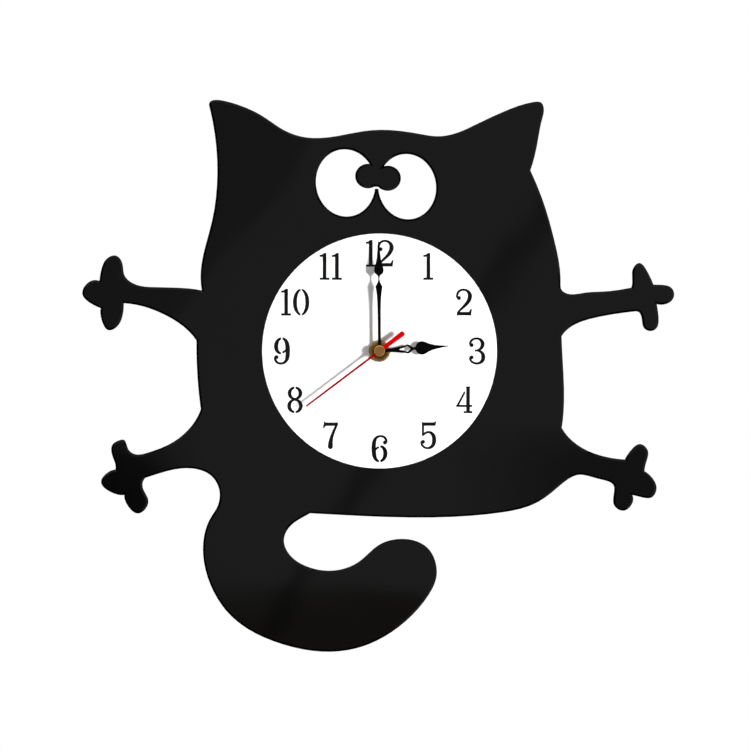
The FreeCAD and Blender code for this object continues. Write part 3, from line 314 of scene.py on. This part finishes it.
def wound(colour):
    """Enamelled wire wound round the core, in turns along Z."""
    def paint(graph, principled):
        place = graph.place()
        height = graph.add("ShaderNodeSeparateXYZ", {0: place}).outputs["Z"]
        angle = graph.math("MULTIPLY", height, math.pi / (WIRE_MM * MM))
        turn = graph.math("ABSOLUTE", graph.math("SINE", angle))
        loose = graph.noise(place, 0.9, 3.0)
        tone = graph.mix(graph.ramp(loose, 0.3, 0.7), shade(colour, 0.75), shade(colour, 1.2))
        link(graph, principled, colour=tone, metallic=0.85, coat=0.6, coat_roughness=0.1,
             roughness=graph.ramp(loose, 0.3, 0.7, 0.22, 0.38),
             normal=bumped(graph, turn, 0.05, 0.9))
    return paint


def circuit(colour):
    """Solder resist over a few straight tracks."""
    def paint(graph, principled):
        place = graph.place()
        axes = graph.add("ShaderNodeSeparateXYZ", {0: place})
        lanes = graph.math("SINE", graph.math("MULTIPLY", axes.outputs["Z"], 2 * math.pi / (TRACK_MM * MM)))
        drawn = graph.add("ShaderNodeMapping", {"Vector": place, "Scale": (0.25, 1.0, 1.0)})
        cells = graph.noise(drawn.outputs["Vector"], 0.4, 1.0)
        track = graph.math("MULTIPLY", graph.ramp(lanes, 0.3, 0.45), graph.ramp(cells, 0.46, 0.5))
        weave = graph.noise(place, 3.0, 2.0)
        tone = graph.mix(track, shade(colour, 0.8), shade(colour, 1.9))
        link(graph, principled, colour=tone, roughness=graph.ramp(weave, 0.3, 0.7, 0.25, 0.4),
             normal=bumped(graph, track, 0.035, 0.8))
    return paint


def sleeve(colour, band_colour, band_start):
    """Plain printed sleeve of the cell: one colour, and a bright band towards its positive end."""
    def paint(graph, principled):
        place = graph.place()
        along = graph.add("ShaderNodeSeparateXYZ", {0: place}).outputs["X"]
        band = graph.ramp(along, band_start, band_start + 0.15 * MM)
        pinstripe = graph.math("MULTIPLY", graph.ramp(along, band_start - 1.6 * MM, band_start - 1.5 * MM),
                               graph.ramp(along, band_start - 1.0 * MM, band_start - 0.9 * MM, 1.0, 0.0))
        fleck = graph.noise(place, 6.0, 2.0)
        scuff = graph.noise(place, 0.25, 4.0)
        body = graph.mix(graph.ramp(scuff, 0.3, 0.7), shade(colour, 0.85), shade(colour, 1.2))
        gold = graph.mix(graph.ramp(fleck, 0.3, 0.7), shade(band_colour, 0.9), shade(band_colour, 1.1))
        tone = graph.mix(graph.math("MAXIMUM", band, pinstripe), body, gold)
        link(graph, principled, colour=tone, metallic=graph.math("MULTIPLY", band, 0.8), coat=0.5,
             coat_roughness=0.12, roughness=graph.ramp(scuff, 0.3, 0.8, 0.24, 0.4),
             normal=bumped(graph, scuff, 0.03, 0.5))
    return paint


FINISHES = {
    "black_acrylic": polished((0.0010, 0.0010, 0.0010), 0.022),
    "white_acrylic": polished((0.93, 0.93, 0.925), 0.10),
    "gasket_rubber": moulded((0.018, 0.018, 0.018), 0.75, 0.5, 0.03, 0.3),
    "brass": turned(BRASS, 0.33, SHADED_BRASS),
    "collet_brass": turned(PALE_BRASS, 0.28),
    "pipe_brass": turned(PALE_BRASS, 0.25),
    "hand_black": lacquered((0.0008, 0.0008, 0.0008), 0.14, 0.10),
    "hand_red": lacquered((0.46, 0.0010, 0.0015), 0.15, 0.04, SHADED_NEEDLE_RED),
    "case_plastic": moulded((0.012, 0.012, 0.0128), 0.48, 0.32, 0.03),
    "frame_plastic": moulded((0.1, 0.1, 0.11), 0.5, 0.5, 0.015),
    "steel": metal((0.62, 0.62, 0.61), 0.22, 0.003, (1.0, 0.1, 1.0)),
    "spring_steel": metal((0.56, 0.55, 0.53), 0.28, 0.003),
    "acetal": moulded((0.82, 0.82, 0.79), 0.38, 0.6, 0.006, 0.5, 0.03),
    "washer_nylon": moulded((0.76, 0.76, 0.72), 0.42, 0.6, 0.006, 0.5, 0.03),
    "knob_plastic": moulded((0.72, 0.72, 0.69), 0.40, 0.45, 0.012, 0.5, 0.04),
    "magnet": metal((0.13, 0.13, 0.14), 0.5, 0.02),
    "soft_iron": metal((0.42, 0.42, 0.43), 0.38, 0.006, (1.0, 1.0, 0.12)),
    "bobbin_plastic": moulded((0.72, 0.69, 0.58), 0.42, 0.5, 0.01, 0.5, 0.04),
    "copper_wire": wound((0.55, 0.19, 0.06)),
    "board_green": circuit((0.03, 0.16, 0.06)),
    "crystal_can": metal((0.68, 0.68, 0.68), 0.2, 0.004, (0.1, 1.0, 1.0)),
    "resin": polished((0.012, 0.012, 0.012), 0.12),
    "contact_nickel": metal((0.68, 0.65, 0.6), 0.24, 0.004, (1.0, 1.0, 0.15)),
    "battery_metal": metal((0.7, 0.7, 0.69), 0.26, 0.004, (0.1, 1.0, 1.0)),
    "battery_label": sleeve((0.012, 0.03, 0.075), (0.72, 0.47, 0.22), LABEL_BAND_FROM),
}
MATERIALS = {name: surface(name, paint) for name, paint in FINISHES.items()}

for node, piece in NODES.items():
    material = MATERIALS[SLOT_OF[node]]
    if not piece.material_slots:
        piece.data.materials.append(material)
    for holder in piece.material_slots:
        holder.material = material


# ---------------------------------------------------------------- smooth shading and soft edges
def smoothing_group():
    """Geometry nodes that weld a mesh and shade it smooth, but for its sharp edges."""
    group = bpy.data.node_groups.new("smooth_by_angle", "GeometryNodeTree")
    group.interface.new_socket("Geometry", in_out="INPUT", socket_type="NodeSocketGeometry")
    group.interface.new_socket("Angle", in_out="INPUT", socket_type="NodeSocketFloat")
    group.interface.new_socket("Geometry", in_out="OUTPUT", socket_type="NodeSocketGeometry")
    graph = Graph(group)
    start = graph.add("NodeGroupInput")
    weld = graph.add("GeometryNodeMergeByDistance", {"Geometry": start.outputs["Geometry"],
                                                     "Distance": WELD_WITHIN})
    smooth = graph.add("GeometryNodeSetShadeSmooth", {"Geometry": weld.outputs[0], "Shade Smooth": True},
                       domain="FACE")
    edge = graph.add("GeometryNodeInputMeshEdgeAngle")
    sharp = graph.add("FunctionNodeCompare", operation="GREATER_THAN", data_type="FLOAT")
    group.links.new(edge.outputs["Unsigned Angle"], sharp.inputs[0])
    group.links.new(start.outputs["Angle"], sharp.inputs[1])
    crease = graph.add("GeometryNodeSetShadeSmooth", {"Geometry": smooth.outputs[0], "Shade Smooth": False,
                                                      "Selection": sharp.outputs[0]}, domain="EDGE")
    end = graph.add("NodeGroupOutput")
    group.links.new(crease.outputs[0], end.inputs[0])
    return group


SMOOTHING = smoothing_group()
ANGLE_SOCKET = next(item.identifier for item in SMOOTHING.interface.items_tree if item.name == "Angle")


def soften(piece, width_mm=0.0):
    """Weld and smooth a piece, and round its sharp edges by width_mm."""
    smooth = piece.modifiers.new("smooth", "NODES")
    smooth.node_group = SMOOTHING
    smooth[ANGLE_SOCKET] = SMOOTH_BELOW
    if width_mm:
        flat = piece.modifiers.new("flat", "DECIMATE")
        flat.decimate_type = "DISSOLVE"
        flat.angle_limit = FLAT_WITHIN
        bevel = piece.modifiers.new("bevel", "BEVEL")
        bevel.width = width_mm * MM
        bevel.segments = 2
        bevel.limit_method = "ANGLE"
        bevel.angle_limit = BEVEL_ABOVE
        bevel.harden_normals = True
        bevel.use_clamp_overlap = False
    level = piece.modifiers.new("level", "WEIGHTED_NORMAL")
    level.keep_sharp = True


for node, piece in NODES.items():
    soften(piece, BEVEL_MM.get(node, 0.0))


# ---------------------------------------------------------------- the two chamfered sheets
def outline_loops(node):
    """Closed loops of (x, z) points round the front face of a flat CAD sheet."""
    build = bmesh.new()
    build.from_mesh(NODES[node].data)
    bmesh.ops.remove_doubles(build, verts=build.verts, dist=OUTLINE_WELD)
    build.normal_update()
    front = {face for face in build.faces if face.normal.y < -0.999}
    rim = {edge for edge in build.edges if sum(face in front for face in edge.link_faces) == 1}
    loops = []
    while rim:
        edge = min(rim, key=lambda e: min(tuple(v.co) for v in e.verts))
        start, here = edge.verts
        loop = [start.co.xz, here.co.xz]
        rim.discard(edge)
        while here is not start:
            edge = next(e for e in here.link_edges if e in rim)
            rim.discard(edge)
            here = edge.other_vert(here)
            loop.append(here.co.xz)
        loops.append([tuple(point) for point in loop[:-1]])
    build.free()
    return loops


def chamfered_sheet(node, name, chamfer, growth):
    """Copy of a flat CAD sheet: its outline moved outwards by growth, its edges broken at 45 degrees."""
    low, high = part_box(node)
    curve = bpy.data.curves.new(name, "CURVE")
    curve.dimensions = "2D"
    curve.fill_mode = "BOTH"
    for loop in outline_loops(node):
        spline = curve.splines.new("POLY")
        spline.points.add(len(loop) - 1)
        for point, (x, z) in zip(spline.points, loop):
            point.co = (x, z, 0.0, 1.0)
        spline.use_cyclic_u = True
    curve.bevel_depth = chamfer
    curve.bevel_resolution = 0
    curve.offset = growth - chamfer
    curve.extrude = (high.y - low.y) / 2 - chamfer
    drawn = bpy.data.objects.new(name + "_outline", curve)
    mesh = bpy.data.meshes.new_from_object(drawn)
    mesh.name = name
    bpy.data.objects.remove(drawn)
    build = bmesh.new()
    build.from_mesh(mesh)
    for vertex in build.verts:
        x, z, depth = vertex.co
        vertex.co = (x, (low.y + high.y) / 2 - depth, z)
    bmesh.ops.remove_doubles(build, verts=build.verts, dist=WELD_WITHIN)
    bmesh.ops.recalc_face_normals(build, faces=build.faces)
    build.to_mesh(mesh)
    build.free()
    piece = bpy.data.objects.new(name, mesh)
    bpy.context.scene.collection.objects.link(piece)
    mesh.materials.clear()
    mesh.materials.append(MATERIALS[SLOT_OF[node]])
    soften(piece)
    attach(piece, "clock")
    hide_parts(node)


chamfered_sheet("cat_body_plate", "polished_cat_plate", PLATE_CHAMFER, PLATE_GROWTH)
chamfered_sheet("dial_disc", "polished_dial", DIAL_CHAMFER, DIAL_GROWTH)


# ---------------------------------------------------------------- floor, light and camera
def floor_paint(graph, principled):
    """Pale paint that thins out to nothing towards the floor's rim."""
    place = graph.place()
    distance = graph.add("ShaderNodeVectorMath", {0: place}, operation="LENGTH").outputs["Value"]
    speckle = graph.noise(place, 0.5, 3.0)
    link(graph, principled, colour=graph.mix(speckle, *FLOOR_TONES), specular=0.2,
         roughness=graph.ramp(speckle, 0.3, 0.7, 0.65, 0.8), normal=bumped(graph, speckle, 0.05, 0.3),
         alpha=graph.ramp(distance, FLOOR_SOLID, FLOOR_RADIUS * 0.98, 1.0, 0.0))


def floor_disc():
    """Pale round floor, well below the clock. It hides the clock from views below it."""
    mesh = bpy.data.meshes.new("floor")
    build = bmesh.new()
    bmesh.ops.create_circle(build, cap_ends=True, cap_tris=False, segments=96, radius=FLOOR_RADIUS)
    build.to_mesh(mesh)
    build.free()
    floor = bpy.data.objects.new("floor", mesh)
    floor.location = (0.0, 0.0, FLOOR_HEIGHT)
    bpy.context.scene.collection.objects.link(floor)
    mesh.materials.append(surface("floor_paint", floor_paint))
    floor.visible_glossy = False


def softbox(name, at, target, size, power):
    """Round lamp, in metres and watts, that lights the clock without mirroring in its gloss."""
    lamp = bpy.data.lights.new(name, "AREA")
    lamp.shape = "DISK"
    lamp.size = size
    lamp.energy = power
    holder = bpy.data.objects.new(name, lamp)
    holder.location = at
    holder.rotation_euler = (Vector(target) - Vector(at)).to_track_quat("-Z", "Y").to_euler()
    holder.visible_glossy = False
    bpy.context.scene.collection.objects.link(holder)


def room_ahead(graph, across, upward):
    """Tones straight ahead: a wall, a slanting beam, the room's floor and its two low corners."""
    def beyond(line):
        a, b, c = line
        return graph.math("ADD", graph.math("MULTIPLY", across, a), graph.math("MULTIPLY_ADD", upward, b, c))

    wall = graph.ramp(beyond(WALL_LINE), -WALL_BLUR, WALL_BLUR, WALL_TONE, 1.0)
    beam = graph.ramp(graph.math("ABSOLUTE", beyond(BEAM_LINE)), BEAM_INNER, BEAM_OUTER, BEAM_TONE, 1.0)
    floor = graph.ramp(upward, *ROOM_FLOOR, ROOM_FLOOR_TONE, 1.0)
    above_low = graph.inverse(graph.ramp(upward, *LOW_BAND, 1.0, 0.0))
    low_left = graph.either(graph.ramp(across, *LOW_LEFT, LOW_LEFT_TONE, 1.0), above_low)
    low_right = graph.either(graph.ramp(across, *LOW_RIGHT, 1.0, LOW_RIGHT_TONE), above_low)
    drift = graph.add("ShaderNodeTexNoise", {"Scale": 9.0, "Detail": 2.0}).outputs["Fac"]
    return graph.times(wall, beam, floor, low_left, low_right, graph.ramp(drift, 0.3, 0.7, 0.95, 1.03))


def room_level(graph, x, y, z, pattern):
    """How bright the room is in the direction (x, y, z): the pattern in a narrow cone ahead, clouds
    in a ring around it, a dark lower left, a bright ceiling, and a clouded slope behind the clock."""
    beside = graph.ramp(y, -0.985, -0.95)
    clouds = graph.add("ShaderNodeTexNoise", {"Scale": 2.6, "Detail": 1.0}).outputs["Fac"]
    clouds = graph.ramp(clouds, 0.36, 0.64, -0.45, 1.6)
    ring = graph.ramp(graph.math("ABSOLUTE", graph.math("ADD", y, 0.63)), 0.18, 0.34, 1.0, 0.0)
    plain = graph.math("MULTIPLY_ADD", clouds, ring, graph.either(pattern, beside))
    dark_side = graph.either(graph.ramp(graph.math("ADD", x, z), -0.45, -0.05),
                             graph.ramp(y, -0.62, -0.32, 1.0, 0.0))
    ceiling = graph.times(graph.ramp(z, 0.40, 0.80), graph.ramp(y, -0.30, -0.12, 1.0, 0.0), 1.1)
    front = graph.math("ADD", graph.times(plain, dark_side, ROOM_LEVEL), ceiling)
    back = graph.math("MULTIPLY_ADD", clouds, 0.18, graph.ramp(z, -0.6, 0.8, 0.22, 0.6))
    behind = graph.ramp(y, 0.1, 0.5)
    return graph.add("ShaderNodeMix", {"Factor": behind, 2: front, 3: back}, data_type="FLOAT").outputs[0]


def studio_world():
    """White to the camera; to reflections a soft grey room, darker to the left and below."""
    world = bpy.data.worlds.new("studio")
    bpy.context.scene.world = world
    world.use_nodes = True
    graph = Graph(world.node_tree)
    direction = graph.add("ShaderNodeTexCoord").outputs["Generated"]
    x, y, z = graph.add("ShaderNodeSeparateXYZ", {0: direction}).outputs
    ahead = graph.math("MAXIMUM", graph.math("MULTIPLY", y, -1.0), 0.05)
    across = graph.math("DIVIDE", x, ahead)
    upward = graph.math("DIVIDE", z, ahead)
    level = room_level(graph, x, y, z, room_ahead(graph, across, upward))
    warmth = graph.times(graph.ramp(upward, *ROOM_FLOOR, 1.0, 0.0), graph.ramp(y, -0.97, -0.95, 1.0, 0.0))
    tint = graph.mix(warmth, WHITE, WARM_FLOOR)
    rays = graph.add("ShaderNodeLightPath").outputs
    share = graph.ramp(rays["Is Diffuse Ray"], 0.0, 1.0, 1.0, MATT_SHARE)
    room = graph.add("ShaderNodeBackground", {"Color": tint, "Strength": graph.times(level, share)})
    paper = graph.add("ShaderNodeBackground", {"Color": WHITE, "Strength": 1.0})
    seen = {0: rays["Is Camera Ray"], 1: room.outputs[0], 2: paper.outputs[0]}
    both = graph.add("ShaderNodeMixShader", seen)
    output = graph.add("ShaderNodeOutputWorld")
    graph.tree.links.new(both.outputs[0], output.inputs["Surface"])


floor_disc()
studio_world()
softbox("key", KEY_AT, DIAL_CENTRE, size=0.20, power=29.0)
softbox("fill", (-0.3, -2.6, 0.9), DIAL_CENTRE, size=2.2, power=5.0)
softbox("overhead", (0.0, 0.5, 1.7), (0.0, 0.05, 0.0), size=1.2, power=12.0)
softbox("rear_key", (-1.0, 1.6, 0.9), (0.0, 0.0, 0.0), size=0.9, power=34.0)

camera_data = bpy.data.cameras.new("camera")
camera_data.lens = LENS
camera_data.sensor_width = SENSOR
camera_data.clip_start = 0.1
camera_data.clip_end = 20.0
camera = bpy.data.objects.new("camera", camera_data)
camera.location = CAMERA_AT
camera.rotation_euler = (math.radians(90), 0.0, 0.0)
bpy.context.scene.collection.objects.link(camera)
bpy.context.scene.camera = camera
bpy.context.scene.view_settings.view_transform = "Standard"
